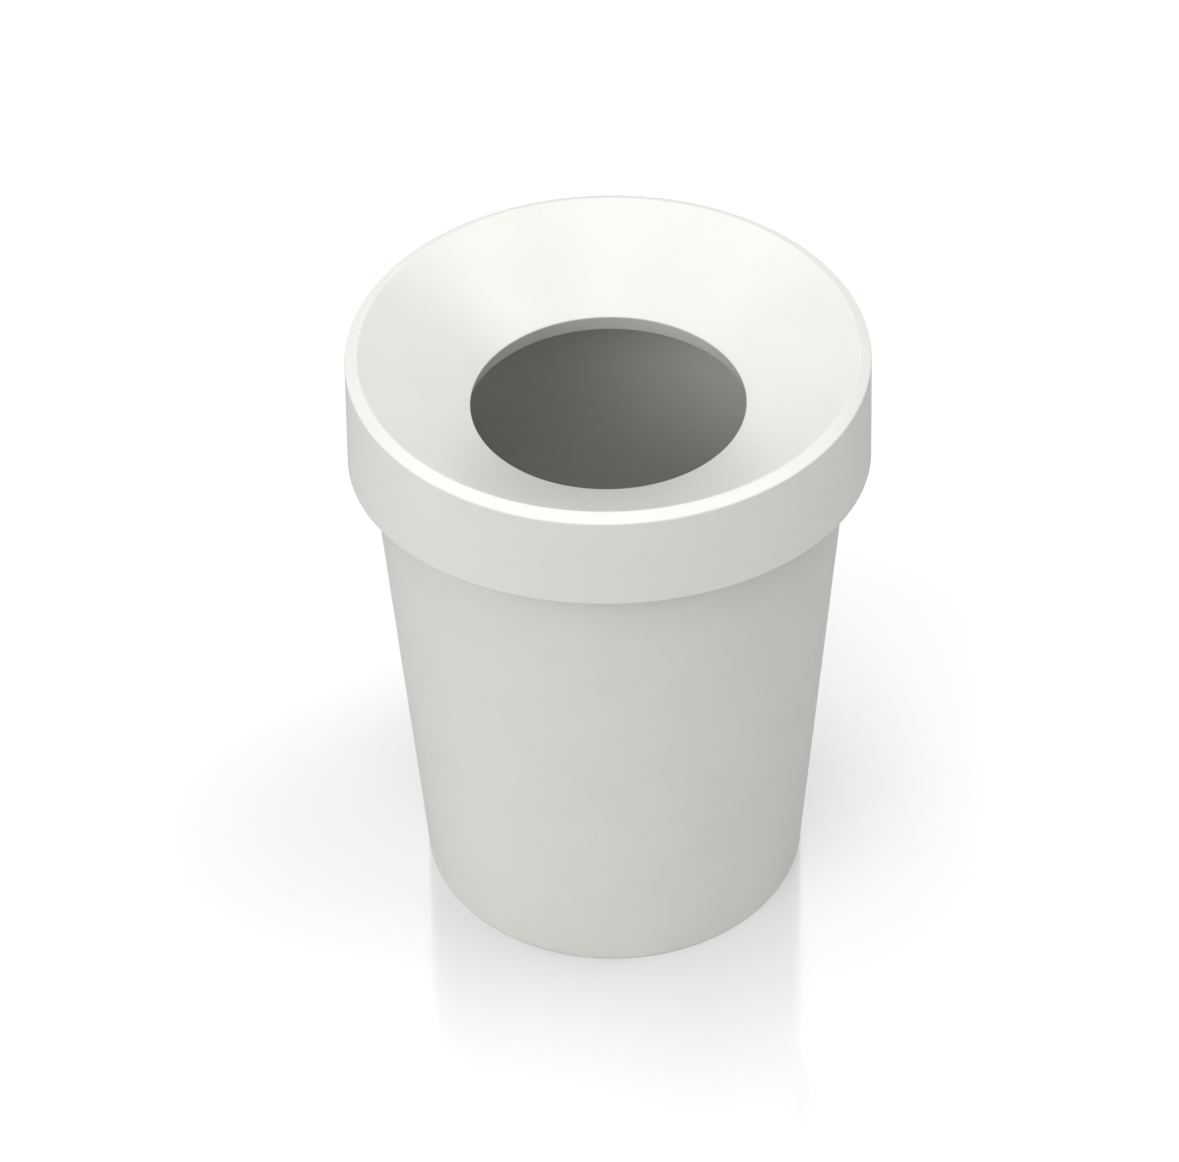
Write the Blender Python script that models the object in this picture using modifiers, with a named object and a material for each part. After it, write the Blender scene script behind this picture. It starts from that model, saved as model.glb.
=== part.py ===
"""Round office wastebasket made of two loose polypropylene mouldings.

bucket  tapered container with a foot ring, a recessed base panel and a beaded rim
collar  inclined ring that rests on the bucket's rim: outer skirt, narrow lip, conical funnel,
        round mouth with a short neck, and ribs underneath that carry and centre it

Origin: middle of the foot, on the floor. +Z is up and -Y is the low front of the collar.
All sizes are in metres.
"""
import bpy
import bmesh
from math import cos, pi, radians, sin
from mathutils import Matrix

# ---- driving dimensions ------------------------------------------------------------------------
WALL = 0.0025                 # wall thickness of both mouldings
TOUCH_GAP = 0.0003            # left between the collar's ribs and the rim they rest on
SEGMENTS = 72                 # facets around every turned shape

BUCKET_FOOT_RADIUS = 0.124    # outside, at the floor
BUCKET_HEIGHT = 0.336
BUCKET_TAPER = 0.0424         # radius gained for each metre of height
FOOT_RING_WIDTH = 0.014       # flat ring that the bucket stands on
BASE_RECESS = 0.002           # how far the base panel is raised inside the foot ring
FOOT_EDGE_RADIUS = 0.0008
FLOOR_FILLET = 0.008          # inside corner between floor and wall
RIM_BEAD_RADIUS = 0.0024      # half-round bead outside the rim

SKIRT_BOTTOM_RADIUS = 0.150
SKIRT_BOTTOM_HEIGHT = 0.303
RIM_RADIUS = 0.146            # crease between skirt and lip
RIM_HEIGHT = 0.368            # of that crease, on the axis
RIM_SLOPE = 0.113             # rise towards +Y for each metre
LIP_WIDTH = 0.0068
LIP_RISE = 0.0023             # inner edge of the lip above its outer edge
MOUTH_RADIUS = 0.078
MOUTH_HEIGHT = 0.332          # of the mouth's edge, on the axis
MOUTH_SLOPE = 0.091
NECK_DEPTH = 0.0112
NECK_FLARE = 0.004            # how much wider the neck's lower end is, so a bag never catches on it
SKIRT_ROWS = 2
FUNNEL_ROWS = 2
EDGE_RADIUS = 0.0007          # rounding of the collar's crisp edges

RIB_COUNT = 8
RIB_THICKNESS = 0.002
RIB_INNER_RADIUS = 0.127
TAB_OUTER_RADIUS = 0.1344     # runs just inside the bucket's wall
TAB_DEPTH = 0.010             # how far a tab reaches down inside the bucket
TAB_CHAMFER = 0.002           # lead-in at the tab's lower outer corner

OFF_WHITE = (0.63, 0.64, 0.60, 1.0)


# ---- helpers -----------------------------------------------------------------------------------
def clear_scene():
    for item in list(bpy.data.objects):
        bpy.data.objects.remove(item, do_unlink=True)


def collection(name):
    group = bpy.data.collections.new(name)
    bpy.context.scene.collection.children.link(group)
    return group


def plastic(name):
    material = bpy.data.materials.new(name)
    material.use_nodes = True
    shader = material.node_tree.nodes["Principled BSDF"]
    shader.inputs["Base Color"].default_value = OFF_WHITE
    shader.inputs["Roughness"].default_value = 0.5
    shader.inputs["Metallic"].default_value = 0.0
    return material


def arc(centre, radius, start_deg, end_deg, steps):
    """Points (r, z) on an arc in the section plane, both ends included."""
    step = (end_deg - start_deg) / steps
    angles = [radians(start_deg + step * i) for i in range(steps + 1)]
    return [(centre[0] + radius * cos(a), centre[1] + radius * sin(a)) for a in angles]


def profile_object(name, points, group):
    """Section line in the XZ plane, turned once about Z by a Screw modifier."""
    mesh = bpy.data.meshes.new(name)
    edges = [(i, i + 1) for i in range(len(points) - 1)]
    mesh.from_pydata([(r, 0.0, z) for r, z in points], edges, [])
    turned = bpy.data.objects.new(name, mesh)
    group.objects.link(turned)
    screw = turned.modifiers.new("turn", "SCREW")
    screw.axis = "Z"
    screw.angle = 2 * pi
    screw.steps = SEGMENTS
    screw.render_steps = SEGMENTS
    screw.use_merge_vertices = True
    screw.merge_threshold = 0.00001
    return turned


def evaluated_mesh(source):
    """A new mesh holding the source object's evaluated surface."""
    depsgraph = bpy.context.evaluated_depsgraph_get()
    return bpy.data.meshes.new_from_object(source.evaluated_get(depsgraph), depsgraph=depsgraph)


def flat_piece(outline, thickness):
    """Closed plate: an outline of (x, y) points, extruded to half the thickness on each side."""
    curve = bpy.data.curves.new("outline", "CURVE")
    curve.dimensions = "2D"
    curve.fill_mode = "BOTH"
    curve.extrude = thickness / 2
    spline = curve.splines.new("POLY")
    spline.points.add(len(outline) - 1)
    for point, (x, y) in zip(spline.points, outline):
        point.co = (x, y, 0.0, 1.0)
    spline.use_cyclic_u = True
    plate = bpy.data.objects.new("outline", curve)
    bpy.context.scene.collection.objects.link(plate)
    mesh = evaluated_mesh(plate)
    bpy.data.objects.remove(plate, do_unlink=True)
    return mesh


def shade_round(mesh, sharp_deg):
    mesh.shade_smooth()
    mesh.set_sharp_from_angle(angle=radians(sharp_deg))


# ---- bucket ------------------------------------------------------------------------------------
def bucket_radius(height):
    """Outside radius of the bucket's wall."""
    return BUCKET_FOOT_RADIUS + BUCKET_TAPER * height


def bucket_profile():
    """Section from the middle of the floor's upper face, over the rim, to the middle of the base."""
    floor = BASE_RECESS + WALL
    fillet_centre = (bucket_radius(floor) - WALL - FLOOR_FILLET, floor + FLOOR_FILLET)
    rim_outer = bucket_radius(BUCKET_HEIGHT)
    bead_centre = (rim_outer, BUCKET_HEIGHT - RIM_BEAD_RADIUS)
    foot_corner = (bucket_radius(0.0) - FOOT_EDGE_RADIUS, FOOT_EDGE_RADIUS)
    ring_inner = BUCKET_FOOT_RADIUS - FOOT_RING_WIDTH
    points = [(0.0, floor)]
    points += arc(fillet_centre, FLOOR_FILLET, -90, 0, 4)
    points += [(rim_outer - WALL, BUCKET_HEIGHT)]
    points += arc(bead_centre, RIM_BEAD_RADIUS, 90, -90, 6)
    points += arc(foot_corner, FOOT_EDGE_RADIUS, 0, -90, 2)
    points += [(ring_inner, 0.0), (ring_inner - BASE_RECESS, BASE_RECESS), (0.0, BASE_RECESS)]
    return points


def build_bucket(group):
    bucket = profile_object("bucket", bucket_profile(), group)
    bucket.data = evaluated_mesh(bucket)
    bucket.modifiers.clear()
    shade_round(bucket.data, 30)
    bucket.data.materials.append(plastic("bucket_plastic"))
    return bucket


# ---- collar ------------------------------------------------------------------------------------
# A station is a ring of the collar's outer surface: (radius, height on the axis, slope towards +Y).
NECK_END = (MOUTH_RADIUS + NECK_FLARE, MOUTH_HEIGHT - NECK_DEPTH, MOUTH_SLOPE)
MOUTH = (MOUTH_RADIUS, MOUTH_HEIGHT, MOUTH_SLOPE)
LIP_INNER = (RIM_RADIUS - LIP_WIDTH, RIM_HEIGHT + LIP_RISE, RIM_SLOPE)
CREASE = (RIM_RADIUS, RIM_HEIGHT, RIM_SLOPE)
SKIRT_END = (SKIRT_BOTTOM_RADIUS, SKIRT_BOTTOM_HEIGHT, 0.0)


def station_between(first, last, share):
    return tuple(a + (b - a) * share for a, b in zip(first, last))


def collar_stations():
    """Outer surface from the neck's lower end, up the funnel, over the lip and down the skirt."""
    funnel = [station_between(MOUTH, LIP_INNER, i / FUNNEL_ROWS) for i in range(FUNNEL_ROWS + 1)]
    skirt = [station_between(CREASE, SKIRT_END, i / SKIRT_ROWS) for i in range(SKIRT_ROWS + 1)]
    return [NECK_END] + funnel + skirt


def station_height(station, angle):
    radius, height, slope = station
    return height + slope * radius * sin(angle)


def incline_rings(mesh, stations):
    """Raise each ring of the turned collar at the back and lower it at the front."""
    slope_at = {round(height, 6): slope for _, height, slope in stations}
    for vertex in mesh.vertices:
        vertex.co.z += slope_at[round(vertex.co.z, 6)] * vertex.co.y


def rib_outline(angle):
    """Section of one rib at this angle: it rests on the rim, centres the collar and joins the shell.

    Where the rib meets the funnel, the lip and the skirt, its edge runs in the middle of their wall.
    """
    rest = BUCKET_HEIGHT + TOUCH_GAP
    tab_end = rest - TAB_DEPTH
    share_down = (RIM_HEIGHT - rest) / (RIM_HEIGHT - SKIRT_BOTTOM_HEIGHT)
    share_out = (RIB_INNER_RADIUS - MOUTH_RADIUS) / (LIP_INNER[0] - MOUTH_RADIUS)
    on_skirt = station_between(CREASE, SKIRT_END, share_down)
    on_funnel = station_between(MOUTH, LIP_INNER, share_out)
    return [
        (RIB_INNER_RADIUS, tab_end),
        (TAB_OUTER_RADIUS - TAB_CHAMFER, tab_end),
        (TAB_OUTER_RADIUS, tab_end + TAB_CHAMFER),
        (TAB_OUTER_RADIUS, rest),
        (on_skirt[0] - WALL / 2, rest),
        (RIM_RADIUS - WALL / 2, station_height(CREASE, angle) - WALL / 2),
        (LIP_INNER[0], station_height(LIP_INNER, angle) - WALL / 2),
        (RIB_INNER_RADIUS, station_height(on_funnel, angle) - WALL / 2),
    ]


def build_ribs(group):
    """All ribs as one object of separate plates, evenly spaced around the axis."""
    plates = bmesh.new()
    for index in range(RIB_COUNT):
        angle = 2 * pi * (index + 0.5) / RIB_COUNT
        plate = flat_piece(rib_outline(angle), RIB_THICKNESS)
        plate.transform(Matrix.Rotation(angle, 4, "Z") @ Matrix.Rotation(pi / 2, 4, "X"))
        plates.from_mesh(plate)
        bpy.data.meshes.remove(plate)
    bmesh.ops.remove_doubles(plates, verts=plates.verts, dist=0.000001)
    bmesh.ops.recalc_face_normals(plates, faces=plates.faces)
    mesh = bpy.data.meshes.new("ribs")
    plates.to_mesh(mesh)
    plates.free()
    ribs = bpy.data.objects.new("ribs", mesh)
    group.objects.link(ribs)
    ribs.hide_render = True
    ribs.display_type = "WIRE"
    return ribs


def build_collar(group, tools):
    stations = collar_stations()
    collar = profile_object("collar", [(r, h) for r, h, _ in stations], group)
    collar.data = evaluated_mesh(collar)
    collar.modifiers.clear()
    incline_rings(collar.data, stations)
    collar.data.materials.append(plastic("collar_plastic"))
    thickness = collar.modifiers.new("wall", "SOLIDIFY")
    thickness.thickness = WALL
    thickness.offset = -1.0
    thickness.use_even_offset = True
    thickness.use_quality_normals = True
    edges = collar.modifiers.new("edges", "BEVEL")
    edges.width = EDGE_RADIUS
    edges.segments = 2
    edges.limit_method = "ANGLE"
    edges.angle_limit = radians(35)
    union = collar.modifiers.new("ribs", "BOOLEAN")
    union.operation = "UNION"
    union.solver = "EXACT"
    union.object = build_ribs(tools)
    shade_round(collar.data, 35)
    return collar


clear_scene()
parts = collection("wastebasket")
build_bucket(parts)
build_collar(parts, collection("cutters"))
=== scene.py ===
"""Looks of a round office wastebasket: a tapered bucket and the loose inclined collar on its rim.

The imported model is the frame. Both CAD nodes are replaced by finer mouldings of the same shape, in
matt off-white polypropylene, on a pale glossy studio floor under soft light from high above.
Sizes are in metres, +Z is up and -Y is the low front of the collar.
"""
from math import cos, pi, radians, sin

import bmesh
import bpy
from mathutils import Matrix, Vector


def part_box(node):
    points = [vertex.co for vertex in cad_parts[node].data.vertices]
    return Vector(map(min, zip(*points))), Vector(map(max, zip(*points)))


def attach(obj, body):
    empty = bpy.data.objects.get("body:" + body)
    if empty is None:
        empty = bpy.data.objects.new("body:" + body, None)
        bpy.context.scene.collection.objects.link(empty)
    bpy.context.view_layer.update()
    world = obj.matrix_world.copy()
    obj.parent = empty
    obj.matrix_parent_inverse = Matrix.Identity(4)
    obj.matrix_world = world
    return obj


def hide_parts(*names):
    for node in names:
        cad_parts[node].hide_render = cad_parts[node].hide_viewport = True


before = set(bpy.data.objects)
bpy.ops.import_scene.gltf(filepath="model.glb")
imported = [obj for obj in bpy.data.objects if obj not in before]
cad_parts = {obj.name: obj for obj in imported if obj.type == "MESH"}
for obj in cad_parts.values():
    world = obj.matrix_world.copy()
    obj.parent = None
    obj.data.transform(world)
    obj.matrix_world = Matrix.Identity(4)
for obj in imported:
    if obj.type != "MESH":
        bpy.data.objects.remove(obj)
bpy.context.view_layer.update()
bucket_low, bucket_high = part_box("bucket")
collar_low, collar_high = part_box("collar")

# ---- driving dimensions ------------------------------------------------------------------------
SEGMENTS = 240                # facets around every turned shape
WALL = 0.0025
TOUCH_GAP = 0.0003            # left between the collar's ribs and the rim they rest on

BUCKET_HEIGHT = bucket_high.z
FOOT_RADIUS = 0.124
BUCKET_TAPER = 0.0424         # radius gained for each metre of height
RIM_BEAD_RADIUS = 0.0024
RIM_EDGE_RADIUS = 0.0006
FOOT_RING_WIDTH = 0.014
FOOT_EDGE_RADIUS = 0.0008
BASE_RECESS = 0.002
FLOOR_FILLET = 0.008
GATE_RADIUS = 0.004           # stub of the injection gate, in the middle of the base
GATE_HEIGHT = 0.0008

SKIRT_RADIUS = collar_high.x
SKIRT_END_HEIGHT = collar_low.z
SKIRT_DRAFT = 0.004           # how much narrower the skirt is at the rim
LIP_WIDTH = 0.0068
LIP_RISE = 0.0023             # inner edge of the lip above its outer edge
RIM_SLOPE = 0.113             # rise of the rim towards +Y for each metre
MOUTH_RADIUS = 0.078
MOUTH_DROP = 0.036            # mouth's edge below the rim, on the axis
MOUTH_SLOPE = 0.091
NECK_DEPTH = 0.0112
NECK_FLARE = 0.004            # the neck's lower end is wider than the mouth
COLLAR_EDGE_RADIUS = 0.0007
RIM_RADIUS = SKIRT_RADIUS - SKIRT_DRAFT
LIP_INNER_RADIUS = RIM_RADIUS - LIP_WIDTH
RIM_HEIGHT = collar_high.z - LIP_RISE - RIM_SLOPE * LIP_INNER_RADIUS
MOUTH_HEIGHT = RIM_HEIGHT - MOUTH_DROP

RIB_COUNT = 8
RIB_THICKNESS = 0.002
RIB_INNER_RADIUS = 0.127
TAB_OUTER_RADIUS = 0.1344
TAB_DEPTH = 0.010
TAB_CHAMFER = 0.002

FILLET_STEPS = 12             # facets along the rounded parts of the section
BEAD_STEPS = 14
EDGE_STEPS = 4
FUNNEL_ROWS = 8
SKIRT_ROWS = 4
COLLAR_EDGE_SEGMENTS = 3
BEVEL_ANGLE = radians(35)     # a fold sharper than this is rounded
SHARP_ANGLE = radians(38)     # a fold sharper than this is shaded as a crisp edge


# ---- mesh helpers ------------------------------------------------------------------------------
# A station is one ring of a turned surface: (radius, height on the axis, slope towards +Y).
def arc(centre, radius, start_deg, end_deg, steps):
    """Level stations on an arc in the section plane, both ends included."""
    step = (end_deg - start_deg) / steps
    angles = [radians(start_deg + step * i) for i in range(steps + 1)]
    return [(centre[0] + radius * cos(a), centre[1] + radius * sin(a), 0.0) for a in angles]


def between(first, last, share):
    return tuple(a + (b - a) * share for a, b in zip(first, last))


def rows(first, last, count):
    """Stations from first to last, both included."""
    return [between(first, last, i / count) for i in range(count + 1)]


def ring_mesh(name, stations):
    """Surface through the rings, with its outside on the side that the last stations run down."""
    shape = bmesh.new()
    rings = []
    for radius, height, slope in stations:
        if radius == 0.0:
            rings.append([shape.verts.new((0.0, 0.0, height))] * SEGMENTS)
            continue
        ring = []
        for index in range(SEGMENTS):
            angle = 2 * pi * index / SEGMENTS
            y = radius * sin(angle)
            ring.append(shape.verts.new((radius * cos(angle), y, height + slope * y)))
        rings.append(ring)
    for upper, lower in zip(rings, rings[1:]):
        for index in range(SEGMENTS):
            after = (index + 1) % SEGMENTS
            corners = [upper[index], lower[index], lower[after], upper[after]]
            shape.faces.new(list(dict.fromkeys(corners)))
    mesh = bpy.data.meshes.new(name)
    shape.to_mesh(mesh)
    shape.free()
    return mesh


def add_object(name, data):
    item = bpy.data.objects.new(name, data)
    bpy.context.scene.collection.objects.link(item)
    return item


def evaluated_mesh(source):
    depsgraph = bpy.context.evaluated_depsgraph_get()
    return bpy.data.meshes.new_from_object(source.evaluated_get(depsgraph), depsgraph=depsgraph)


def remove(item):
    bpy.data.objects.remove(item, do_unlink=True)


def finish_piece(piece, material, body, node):
    """Shades the piece, gives it its material and puts it in the place of a CAD node."""
    piece.data.shade_smooth()
    piece.data.set_sharp_from_angle(angle=SHARP_ANGLE)
    normals = piece.modifiers.new("normals", "WEIGHTED_NORMAL")
    normals.keep_sharp = True
    piece.data.materials.clear()
    piece.data.materials.append(material)
    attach(piece, body)
    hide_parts(node)
    return piece


# ---- materials ---------------------------------------------------------------------------------
PLASTIC_LIGHT = (0.639, 0.651, 0.613)
PLASTIC_DARK = (0.621, 0.633, 0.595)
PLASTIC_IOR = 1.49
PLASTIC_ROUGHNESS = (0.28, 0.34)
# Noise scales are in cells for each metre
FLOW_SCALE = 16.0             # cloudy marks of the melt's flow
PIGMENT_SCALE = 900.0         # uneven pigment
POLISH_SCALE = 45.0           # patches of the mould that are a little glossier
PEEL_SCALE = 110.0            # faint orange peel
GRAIN_SCALE = 2200.0          # spark-eroded grain
PEEL_DEPTH = 0.00012
PEEL_STRENGTH = 0.35
GRAIN_DEPTH = 0.00005
GRAIN_STRENGTH = 0.30


class Nodes:
    """A small wrapper that adds nodes to a tree and links them by socket name."""

    def __init__(self, tree):
        self.tree = tree

    def add(self, kind, **values):
        node = self.tree.nodes.new(kind)
        for key, value in values.items():
            setattr(node, key, value)
        return node

    def link(self, source, output, target, socket):
        self.tree.links.new(source.outputs[output], target.inputs[socket])

    def noise(self, coordinates, scale, detail, roughness=0.5):
        node = self.add("ShaderNodeTexNoise")
        node.inputs["Scale"].default_value = scale
        node.inputs["Detail"].default_value = detail
        node.inputs["Roughness"].default_value = roughness
        self.link(coordinates, "Object", node, "Vector")
        return node

    def spread(self, source, output, low, high, from_low=0.0, from_high=1.0):
        node = self.add("ShaderNodeMapRange")
        node.inputs["From Min"].default_value = from_low
        node.inputs["From Max"].default_value = from_high
        node.inputs["To Min"].default_value = low
        node.inputs["To Max"].default_value = high
        self.link(source, output, node, "Value")
        return node

    def bump(self, height, output, strength, distance, before=None):
        node = self.add("ShaderNodeBump")
        node.inputs["Strength"].default_value = strength
        node.inputs["Distance"].default_value = distance
        self.link(height, output, node, "Height")
        if before:
            self.link(before, "Normal", node, "Normal")
        return node


def new_material(name):
    material = bpy.data.materials.new(name)
    material.use_nodes = True
    tree = material.node_tree
    return material, Nodes(tree), tree.nodes["Principled BSDF"]


def polypropylene(name):
    """Matt injection-moulded polypropylene: spark-eroded grain, faint orange peel and flow mottling."""
    material, nodes, shader = new_material(name)
    where = nodes.add("ShaderNodeTexCoord")

    flow = nodes.noise(where, FLOW_SCALE, 4.0, 0.6)
    pigment = nodes.noise(where, PIGMENT_SCALE, 2.0)
    flow_share = nodes.spread(flow, "Fac", 0.0, 1.0, 0.35, 0.65)
    pigment_share = nodes.spread(pigment, "Fac", -0.25, 0.25, 0.3, 0.7)
    share = nodes.add("ShaderNodeMath", operation="ADD", use_clamp=True)
    nodes.link(flow_share, "Result", share, 0)
    nodes.link(pigment_share, "Result", share, 1)
    colour = nodes.add("ShaderNodeMix", data_type="RGBA")
    colour.inputs["A"].default_value = (*PLASTIC_DARK, 1.0)
    colour.inputs["B"].default_value = (*PLASTIC_LIGHT, 1.0)
    nodes.link(share, "Value", colour, "Factor")
    nodes.link(colour, "Result", shader, "Base Color")

    polish = nodes.noise(where, POLISH_SCALE, 3.0)
    gloss = nodes.spread(polish, "Fac", *PLASTIC_ROUGHNESS)
    nodes.link(gloss, "Result", shader, "Roughness")

    grain = nodes.noise(where, GRAIN_SCALE, 2.0, 0.6)
    peel = nodes.noise(where, PEEL_SCALE, 2.0)
    coarse = nodes.bump(peel, "Fac", PEEL_STRENGTH, PEEL_DEPTH)
    fine = nodes.bump(grain, "Fac", GRAIN_STRENGTH, GRAIN_DEPTH, coarse)
    nodes.link(fine, "Normal", shader, "Normal")

    shader.inputs["IOR"].default_value = PLASTIC_IOR
    shader.inputs["Specular IOR Level"].default_value = 0.5
    return material


def glossy_white_floor():
    """White studio floor whose gloss shows around the foot and fades out further away."""
    material, nodes, shader = new_material("studio_floor")
    ray = nodes.add("ShaderNodeLightPath")
    white = nodes.add("ShaderNodeMix", data_type="RGBA")
    white.inputs["A"].default_value = (FLOOR_BOUNCE, FLOOR_BOUNCE, FLOOR_BOUNCE, 1.0)
    white.inputs["B"].default_value = (FLOOR_WHITE, FLOOR_WHITE, FLOOR_WHITE, 1.0)
    nodes.link(ray, "Is Camera Ray", white, "Factor")
    nodes.link(white, "Result", shader, "Base Color")
    shader.inputs["Roughness"].default_value = 1.0
    shader.inputs["Specular IOR Level"].default_value = 0.0

    where = nodes.add("ShaderNodeTexCoord")
    distance = nodes.add("ShaderNodeVectorMath", operation="LENGTH")
    nodes.link(where, "Object", distance, 0)
    share = nodes.spread(distance, "Value", GLOSS_SHARE, 0.0, *GLOSS_FADE)
    gloss = nodes.add("ShaderNodeBsdfGlossy")
    gloss.inputs["Color"].default_value = (GLOSS_TINT, GLOSS_TINT, GLOSS_TINT, 1.0)
    gloss.inputs["Roughness"].default_value = GLOSS_ROUGHNESS
    surface = nodes.add("ShaderNodeMixShader")
    nodes.link(share, "Result", surface, "Fac")
    nodes.link(shader, "BSDF", surface, 1)
    nodes.link(gloss, "BSDF", surface, 2)
    nodes.link(surface, "Shader", nodes.tree.nodes["Material Output"], "Surface")
    return material


# ---- bucket ------------------------------------------------------------------------------------
def bucket_radius(height):
    """Outside radius of the bucket's wall."""
    return FOOT_RADIUS + BUCKET_TAPER * height


def bucket_stations():
    """From the middle of the floor's upper face, over the rim, to the middle of the base."""
    floor = BASE_RECESS + WALL
    fillet_centre = (bucket_radius(floor) - WALL - FLOOR_FILLET, floor + FLOOR_FILLET)
    rim_outer = bucket_radius(BUCKET_HEIGHT)
    rim_edge = (rim_outer - WALL + RIM_EDGE_RADIUS, BUCKET_HEIGHT - RIM_EDGE_RADIUS)
    bead = (rim_outer, BUCKET_HEIGHT - RIM_BEAD_RADIUS)
    foot_edge = (FOOT_RADIUS - FOOT_EDGE_RADIUS, FOOT_EDGE_RADIUS)
    ring_inner = FOOT_RADIUS - FOOT_RING_WIDTH
    stations = [(0.0, floor, 0.0)]
    stations += arc(fillet_centre, FLOOR_FILLET, -90, 0, FILLET_STEPS)
    stations += arc(rim_edge, RIM_EDGE_RADIUS, 180, 90, EDGE_STEPS)
    stations += arc(bead, RIM_BEAD_RADIUS, 90, -90, BEAD_STEPS)
    stations += arc(foot_edge, FOOT_EDGE_RADIUS, 0, -90, EDGE_STEPS)
    stations += [(ring_inner, 0.0, 0.0), (ring_inner - BASE_RECESS, BASE_RECESS, 0.0)]
    stations += [(GATE_RADIUS, BASE_RECESS, 0.0)]
    stations += [(GATE_RADIUS - GATE_HEIGHT / 2, BASE_RECESS - GATE_HEIGHT, 0.0)]
    stations += [(0.0, BASE_RECESS - GATE_HEIGHT, 0.0)]
    return stations


def build_bucket(material):
    bucket = add_object("bucket_moulding", ring_mesh("bucket_moulding", bucket_stations()))
    return finish_piece(bucket, material, "bucket", "bucket")


# ---- collar ------------------------------------------------------------------------------------
NECK_END = (MOUTH_RADIUS + NECK_FLARE, MOUTH_HEIGHT - NECK_DEPTH, MOUTH_SLOPE)
MOUTH = (MOUTH_RADIUS, MOUTH_HEIGHT, MOUTH_SLOPE)
LIP_INNER = (LIP_INNER_RADIUS, RIM_HEIGHT + LIP_RISE, RIM_SLOPE)
CREASE = (RIM_RADIUS, RIM_HEIGHT, RIM_SLOPE)
SKIRT_END = (SKIRT_RADIUS, SKIRT_END_HEIGHT, 0.0)


def station_height(station, angle):
    radius, height, slope = station
    return height + slope * radius * sin(angle)


def rib_outline(angle):
    """Section of one rib: it rests on the rim, centres the collar and joins the shell."""
    rest = BUCKET_HEIGHT + TOUCH_GAP
    tab_end = rest - TAB_DEPTH
    share_down = (RIM_HEIGHT - rest) / (RIM_HEIGHT - SKIRT_END_HEIGHT)
    share_out = (RIB_INNER_RADIUS - MOUTH_RADIUS) / (LIP_INNER_RADIUS - MOUTH_RADIUS)
    on_skirt = between(CREASE, SKIRT_END, share_down)
    on_funnel = between(MOUTH, LIP_INNER, share_out)
    return [
        (RIB_INNER_RADIUS, tab_end),
        (TAB_OUTER_RADIUS - TAB_CHAMFER, tab_end),
        (TAB_OUTER_RADIUS, tab_end + TAB_CHAMFER),
        (TAB_OUTER_RADIUS, rest),
        (on_skirt[0] - WALL / 2, rest),
        (RIM_RADIUS - WALL / 2, station_height(CREASE, angle) - WALL / 2),
        (LIP_INNER_RADIUS, station_height(LIP_INNER, angle) - WALL / 2),
        (RIB_INNER_RADIUS, station_height(on_funnel, angle) - WALL / 2),
    ]


def rib_plates():
    """All ribs as one mesh of separate closed plates, evenly spaced around the axis."""
    plates = bmesh.new()
    for index in range(RIB_COUNT):
        angle = 2 * pi * (index + 0.5) / RIB_COUNT
        turn = Matrix.Rotation(angle, 4, "Z")
        half = RIB_THICKNESS / 2
        sides = []
        for offset in (-half, half):
            corners = [turn @ Vector((r, offset, z)) for r, z in rib_outline(angle)]
            sides.append([plates.verts.new(corner) for corner in corners])
        plates.faces.new(sides[0])
        plates.faces.new(reversed(sides[1]))
        for corner in range(len(sides[0])):
            after = (corner + 1) % len(sides[0])
            plates.faces.new([sides[0][after], sides[0][corner], sides[1][corner], sides[1][after]])
    bmesh.ops.recalc_face_normals(plates, faces=plates.faces)
    mesh = bpy.data.meshes.new("ribs")
    plates.to_mesh(mesh)
    plates.free()
    return mesh


def build_collar(material):
    """Shell from the neck's lower end over funnel, lip and skirt, with the ribs joined to it."""
    funnel = rows(MOUTH, LIP_INNER, FUNNEL_ROWS)
    skirt = rows(CREASE, SKIRT_END, SKIRT_ROWS)
    shell = add_object("collar_shell", ring_mesh("collar_shell", [NECK_END] + funnel + skirt))
    thickness = shell.modifiers.new("wall", "SOLIDIFY")
    thickness.thickness = WALL
    thickness.offset = -1.0
    thickness.use_even_offset = True
    thickness.use_quality_normals = True
    edges = shell.modifiers.new("edges", "BEVEL")
    edges.width = COLLAR_EDGE_RADIUS
    edges.segments = COLLAR_EDGE_SEGMENTS
    edges.limit_method = "ANGLE"
    edges.angle_limit = BEVEL_ANGLE
    ribs = add_object("ribs", rib_plates())
    union = shell.modifiers.new("ribs", "BOOLEAN")
    union.operation = "UNION"
    union.solver = "EXACT"
    union.object = ribs
    collar = add_object("collar_moulding", evaluated_mesh(shell))
    remove(shell)
    remove(ribs)
    return finish_piece(collar, material, "collar", "collar")


# ---- studio ------------------------------------------------------------------------------------
FLOOR_HALF_SIZE = 30.0
FLOOR_WHITE = 0.93            # as the camera sees it
FLOOR_BOUNCE = 0.42           # as the basket gets light back from it
GLOSS_SHARE = 0.36            # share of the floor's white that gives way to gloss beside the foot
GLOSS_TINT = 0.42
GLOSS_ROUGHNESS = 0.11
GLOSS_FADE = (0.12, 0.46)     # distance from the axis where the gloss starts to fade, and is gone

# Soft lights in the sky: degrees round from the front towards +X, degrees up, sharpness, radiance
SOFT_LIGHTS = (
    (0, 90, 40, 3.4),         # softboxes high over the basket: straight above, front, right and left
    (0, 66, 40, 2.4),
    (100, 63, 40, 5.6),
    (240, 66, 40, 4.2),
    (0, 84, 8, 0.7),          # ceiling
    (315, 20, 12, 4.5),       # low fill from the front left
    (75, 12, 12, 2.8),        # weaker low fills from the right, the left and the front
    (270, 12, 12, 1.2),
    (0, 28, 12, 1.1),
)
BACKDROP = (180, 38, 3, 2.0)  # pale backdrop, picked up by gloss alone
SKY_SEEN = 1.2                # radiance of the sky where the camera looks straight at it

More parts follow.
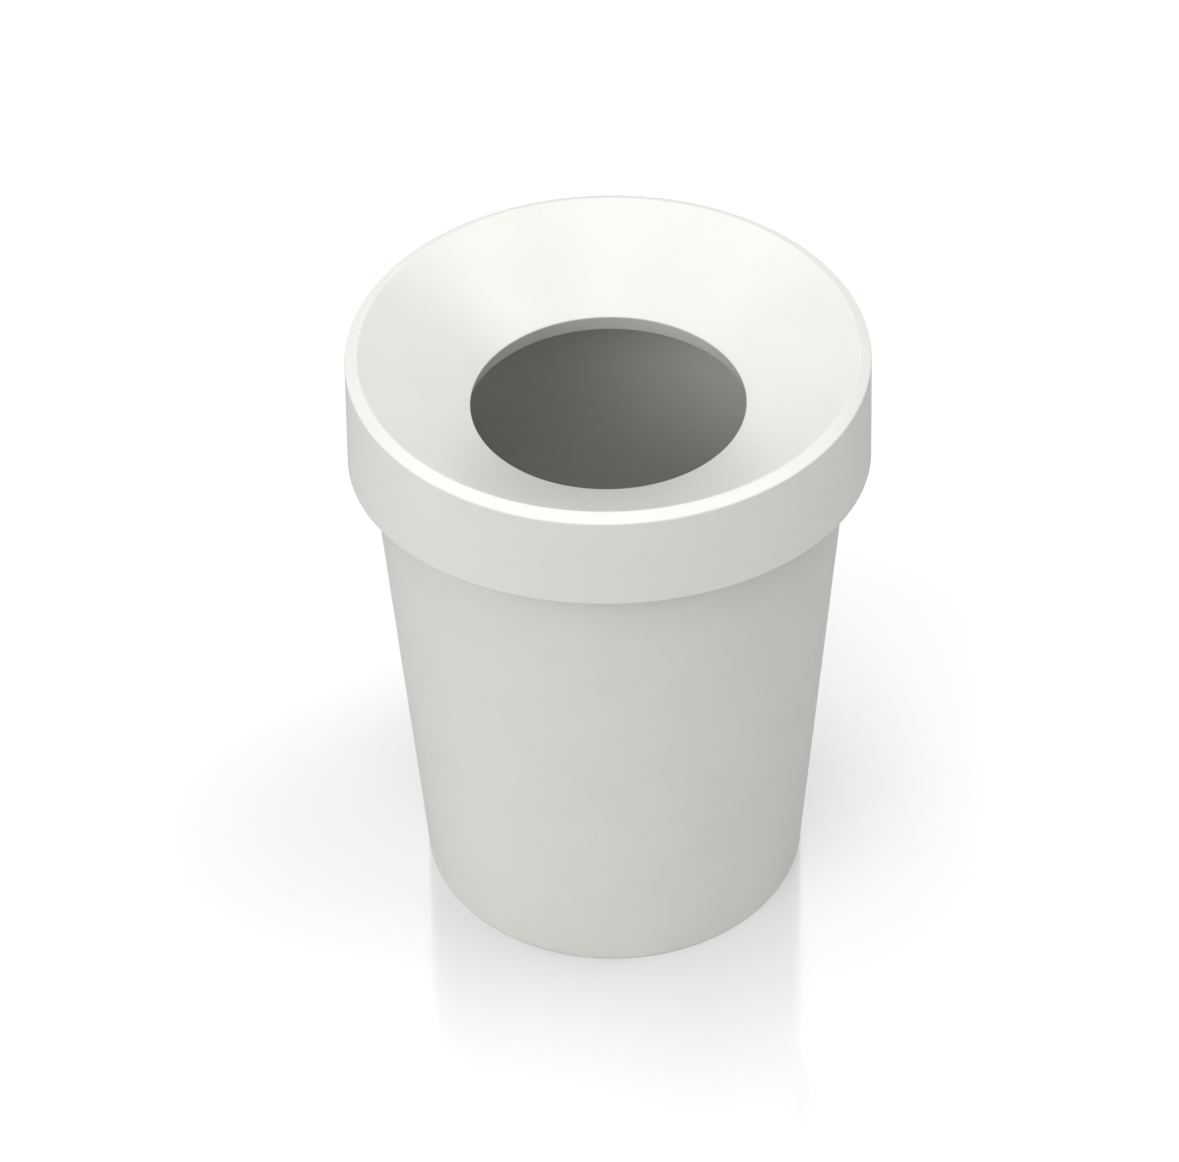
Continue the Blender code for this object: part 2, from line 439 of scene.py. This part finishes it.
CAMERA_PLACE = (0.0, -0.955, 0.951)
CAMERA_YAW = radians(0.78)
CAMERA_PITCH = radians(90 - 38.15)    # looks 38.15 degrees down
CAMERA_ROLL = radians(-1.33)
CAMERA_LENS = 61.07


def build_floor():
    bpy.ops.mesh.primitive_plane_add(size=2 * FLOOR_HALF_SIZE, location=(0.0, 0.0, bucket_low.z))
    floor = bpy.context.object
    floor.name = "studio_floor"
    floor.data.materials.append(glossy_white_floor())


def glow(nodes, where, light, under=None):
    """Adds the round glow of one soft light to the glows under it."""
    around, up, sharpness, radiance = light
    direction = Vector((sin(radians(around)), -cos(radians(around)), 0.0)) * cos(radians(up))
    direction.z = sin(radians(up))
    facing = nodes.add("ShaderNodeVectorMath", operation="DOT_PRODUCT")
    facing.inputs[1].default_value = direction
    nodes.link(where, "Generated", facing, 0)
    above = nodes.add("ShaderNodeMath", operation="MAXIMUM")
    above.inputs[1].default_value = 0.0
    nodes.link(facing, "Value", above, 0)
    shape = nodes.add("ShaderNodeMath", operation="POWER")
    shape.inputs[1].default_value = sharpness
    nodes.link(above, "Value", shape, 0)
    total = nodes.add("ShaderNodeMath", operation="MULTIPLY_ADD")
    total.inputs[1].default_value = radiance
    total.inputs[2].default_value = 0.0
    nodes.link(shape, "Value", total, 0)
    if under:
        nodes.link(under, "Value", total, 2)
    return total


def build_light():
    """Soft lights as round glows in an otherwise dark sky, so that none has a hard edge."""
    world = bpy.data.worlds.new("studio")
    world.use_nodes = True
    bpy.context.scene.world = world
    nodes = Nodes(world.node_tree)
    where = nodes.add("ShaderNodeTexCoord")
    ray = nodes.add("ShaderNodeLightPath")
    lights = None
    for light in SOFT_LIGHTS:
        lights = glow(nodes, where, light, lights)
    for_gloss = nodes.add("ShaderNodeMath", operation="MULTIPLY_ADD")
    nodes.link(glow(nodes, where, BACKDROP), "Value", for_gloss, 0)
    nodes.link(ray, "Is Glossy Ray", for_gloss, 1)
    nodes.link(lights, "Value", for_gloss, 2)
    strength = nodes.add("ShaderNodeMix", data_type="FLOAT")
    strength.inputs["B"].default_value = SKY_SEEN
    nodes.link(ray, "Is Camera Ray", strength, "Factor")
    nodes.link(for_gloss, "Value", strength, "A")
    background = world.node_tree.nodes["Background"]
    background.inputs["Color"].default_value = (1.0, 1.0, 1.0, 1.0)
    nodes.link(strength, "Result", background, "Strength")


def build_camera():
    """Looks down at the basket from the front; it is rolled a little, as the basket stands."""
    data = bpy.data.cameras.new("camera")
    data.sensor_width = 36.0
    data.lens = CAMERA_LENS
    data.clip_start = 0.05
    data.clip_end = 100.0
    camera = add_object("camera", data)
    yaw = Matrix.Rotation(CAMERA_YAW, 4, "Z")
    pitch = Matrix.Rotation(CAMERA_PITCH, 4, "X")
    roll = Matrix.Rotation(CAMERA_ROLL, 4, "Z")
    camera.matrix_world = Matrix.Translation(CAMERA_PLACE) @ yaw @ pitch @ roll
    bpy.context.scene.camera = camera


build_bucket(polypropylene("bucket_polypropylene"))
build_collar(polypropylene("collar_polypropylene"))
build_floor()
build_light()
build_camera()
bpy.context.scene.view_settings.view_transform = "Standard"
